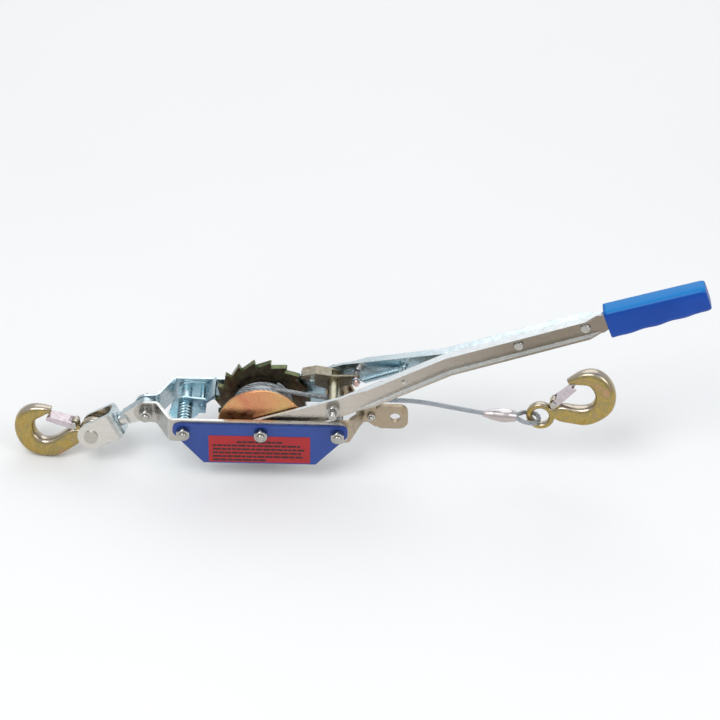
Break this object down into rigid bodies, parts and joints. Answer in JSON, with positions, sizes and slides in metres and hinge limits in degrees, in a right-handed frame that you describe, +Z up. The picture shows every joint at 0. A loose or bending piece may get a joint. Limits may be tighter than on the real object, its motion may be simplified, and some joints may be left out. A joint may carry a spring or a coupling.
{
  "type": "wire rope puller",
  "caption": "Hand-operated wire rope puller: ratchet drum in a strip-steel frame, long channel handle, swivel hook on the frame, latched hook on the rope.",
  "frame": {"origin": "centre of the hole through the tail anchor's ear, on the mid-plane between the side plates", "axes": "+X from the drum towards the rope hook, +Z up with the handle at rest above the rope, -Y is the labelled side"},
  "size_m": [0.6841, 0.0865, 0.2312],
  "materials": {
    "zinc": "bright zinc plate",
    "blue_zinc": "blue-white zinc plate",
    "yellow_zinc": "yellow chromate over forged steel",
    "tan_zinc": "pale yellow chromate",
    "olive_zinc": "olive chromate",
    "copper_zinc": "pink-copper chromate",
    "disc_gold": "iridescent yellow chromate",
    "dark_gear": "dark chromate over a blanked gear",
    "blue_paint": "gloss blue paint",
    "red_label": "printed film",
    "rope_steel": "galvanised strands",
    "ferrule_alloy": "pressed sleeve",
    "spring_steel": "blue-white zinc on spring wire",
    "grip_vinyl": "blue vinyl"
  },
  "bodies": {
    "frame": {"front_side_plate": "zinc", "rear_side_plate": "blue_zinc", "front_cover": "blue_paint", "cover_label": "red_label", "drum_shaft": "zinc", "left_cross_bolt": "zinc", "right_cross_bolt": "zinc", "neck_bolt": "zinc", "frame_nuts": "zinc", "neck_washers": "zinc", "left_spacer": "blue_zinc", "right_spacer": "zinc", "shaft_washers": "zinc", "holding_pawl_spring": "spring_steel", "front_anchor_plate": "tan_zinc", "rear_anchor_plate": "tan_zinc", "anchor_tie_bolt": "zinc", "anchor_tie_nut": "zinc", "rope_span": "rope_steel"},
    "drum": {"drum_hub": "dark_gear", "rope_clamp_screw": "zinc", "drum_flange": "disc_gold", "ratchet_wheel": "dark_gear", "rope_coil": "rope_steel"},
    "handle": {"front_handle_half": "zinc", "rear_handle_half": "zinc", "handle_rivets": "zinc", "handle_bolt": "zinc", "handle_nut": "zinc", "handle_spacer": "olive_zinc", "handle_grip": "grip_vinyl", "spring_anchor_pin": "zinc", "drive_pawl_spring": "spring_steel"},
    "drive_pawl": {"drive_pawl": "olive_zinc", "release_rod": "copper_zinc", "drive_pawl_peg": "blue_zinc"},
    "holding_pawl": {"holding_pawl": "blue_zinc", "holding_pawl_pin": "blue_zinc"},
    "swivel_link": {"swivel_link": "blue_zinc"},
    "clevis": {"clevis": "blue_zinc", "clevis_pin": "zinc"},
    "frame_hook": {"frame_hook": "yellow_zinc", "frame_hook_latch_pin": "zinc", "frame_hook_latch_spring": "spring_steel"},
    "frame_hook_latch": {"frame_hook_latch": "copper_zinc"},
    "rope_end": {"ferrule": "ferrule_alloy", "rope_loop": "rope_steel"},
    "rope_hook": {"rope_hook": "yellow_zinc", "rope_hook_latch_pin": "zinc", "rope_hook_latch_spring": "spring_steel"},
    "rope_hook_latch": {"rope_hook_latch": "copper_zinc"}
  },
  "joints": [
    {"name": "handle_swing", "type": "hinge", "parent": "frame", "child": "handle", "pos_m": [-0.133, 0, 0.004], "axis": [0, -1, 0], "range_deg": [0, 100]},
    {"name": "drum_spin", "type": "hinge", "parent": "frame", "child": "drum", "pos_m": [-0.133, 0, 0.004], "axis": [0, -1, 0], "range_deg": [-500, 100]},
    {"name": "rope_payout", "type": "slide", "parent": "frame", "child": "rope_end", "axis": [0.996, 0, -0.0896], "range_m": [-0.05, 0.246], "deforming": ["rope_span"]},
    {"name": "holding_pawl_tilt", "type": "hinge", "parent": "frame", "child": "holding_pawl", "pos_m": [-0.21, 0, 0.004], "axis": [0, -1, 0], "range_deg": [-20, 22]},
    {"name": "drive_pawl_tilt", "type": "hinge", "parent": "handle", "child": "drive_pawl", "pos_m": [-0.062, 0, 0.031], "axis": [0, -1, 0], "range_deg": [-18, 12], "deforming": ["drive_pawl_spring"]},
    {"name": "link_pivot", "type": "hinge", "parent": "frame", "child": "swivel_link", "pos_m": [-0.249, 0, 0.004], "axis": [0, -1, 0], "range_deg": [-80, 30]},
    {"name": "clevis_swivel", "type": "hinge", "parent": "swivel_link", "child": "clevis", "pos_m": [-0.27498, 0, -0.011], "axis": [-0.866, 0, -0.5], "continuous": true},
    {"name": "frame_hook_pivot", "type": "hinge", "parent": "clevis", "child": "frame_hook", "pos_m": [-0.30269, 0, -0.027], "axis": [-0.121, -0.9703, 0.2095], "range_deg": [-70, 70]},
    {"name": "frame_hook_latch_hinge", "type": "hinge", "parent": "frame_hook", "child": "frame_hook_latch", "pos_m": [-0.32191, 0.00375, -0.02073], "axis": [-0.121, -0.9703, 0.2095], "range_deg": [0, 34]},
    {"name": "rope_hook_swing", "type": "hinge", "parent": "rope_end", "child": "rope_hook", "pos_m": [0.1454, 0, 0.006], "axis": [0.137, 0.9703, -0.1994], "range_deg": [-60, 60]},
    {"name": "rope_hook_latch_hinge", "type": "hinge", "parent": "rope_hook", "child": "rope_hook_latch", "pos_m": [0.1579, 0.00157, 0.02224], "axis": [0.137, 0.9703, -0.1994], "range_deg": [0, 34]}
  ],
  "couplings": [
    {"joint": "rope_payout", "follows": "drum_spin", "m_per_rad": -0.028}
  ]
}
